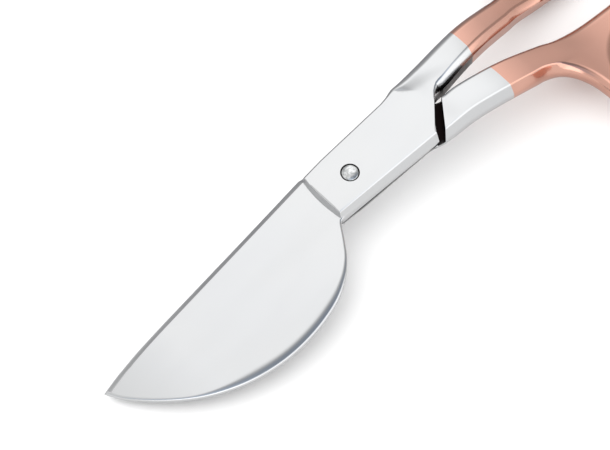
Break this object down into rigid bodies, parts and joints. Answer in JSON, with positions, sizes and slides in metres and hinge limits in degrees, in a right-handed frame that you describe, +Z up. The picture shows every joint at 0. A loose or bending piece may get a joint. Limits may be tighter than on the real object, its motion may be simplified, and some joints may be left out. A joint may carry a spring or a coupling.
{
  "type": "duckbill scissors",
  "caption": "Closed duckbill applique scissors with a wide half-moon paddle blade over a narrow knife blade, a screw pivot and bent plated handles with finger bows.",
  "frame": {"origin": "bottom centre of the bounding box, with the closed scissors lying at rest on a flat table on the tip and both bows, paddle side up", "axes": "+X from the blade tips back towards the bows, +Y towards the thumb bow, +Z up from the table; the pivot axis leans back 7.5 degrees from +Z towards -X because the blades rise from the tip"},
  "size_m": [0.1534, 0.07, 0.0151],
  "materials": {
    "polished_steel": "bright polished stainless steel with a fine grain",
    "screw_steel": "turned steel, domed end burnished",
    "rose_gold_plating": "polished rose gold plating"
  },
  "bodies": {
    "paddle_side": {"paddle_half": "polished_steel", "thumb_handle_plating": "rose_gold_plating", "pivot_screw": "screw_steel"},
    "knife_side": {"knife_half": "polished_steel", "finger_handle_plating": "rose_gold_plating"}
  },
  "joints": [
    {"name": "blade_pivot", "type": "hinge", "parent": "paddle_side", "child": "knife_side", "pos_m": [-0.01607, 0.002, 0.00916], "axis": [0.13, 0, -0.9915], "range_deg": [0, 50]}
  ]
}
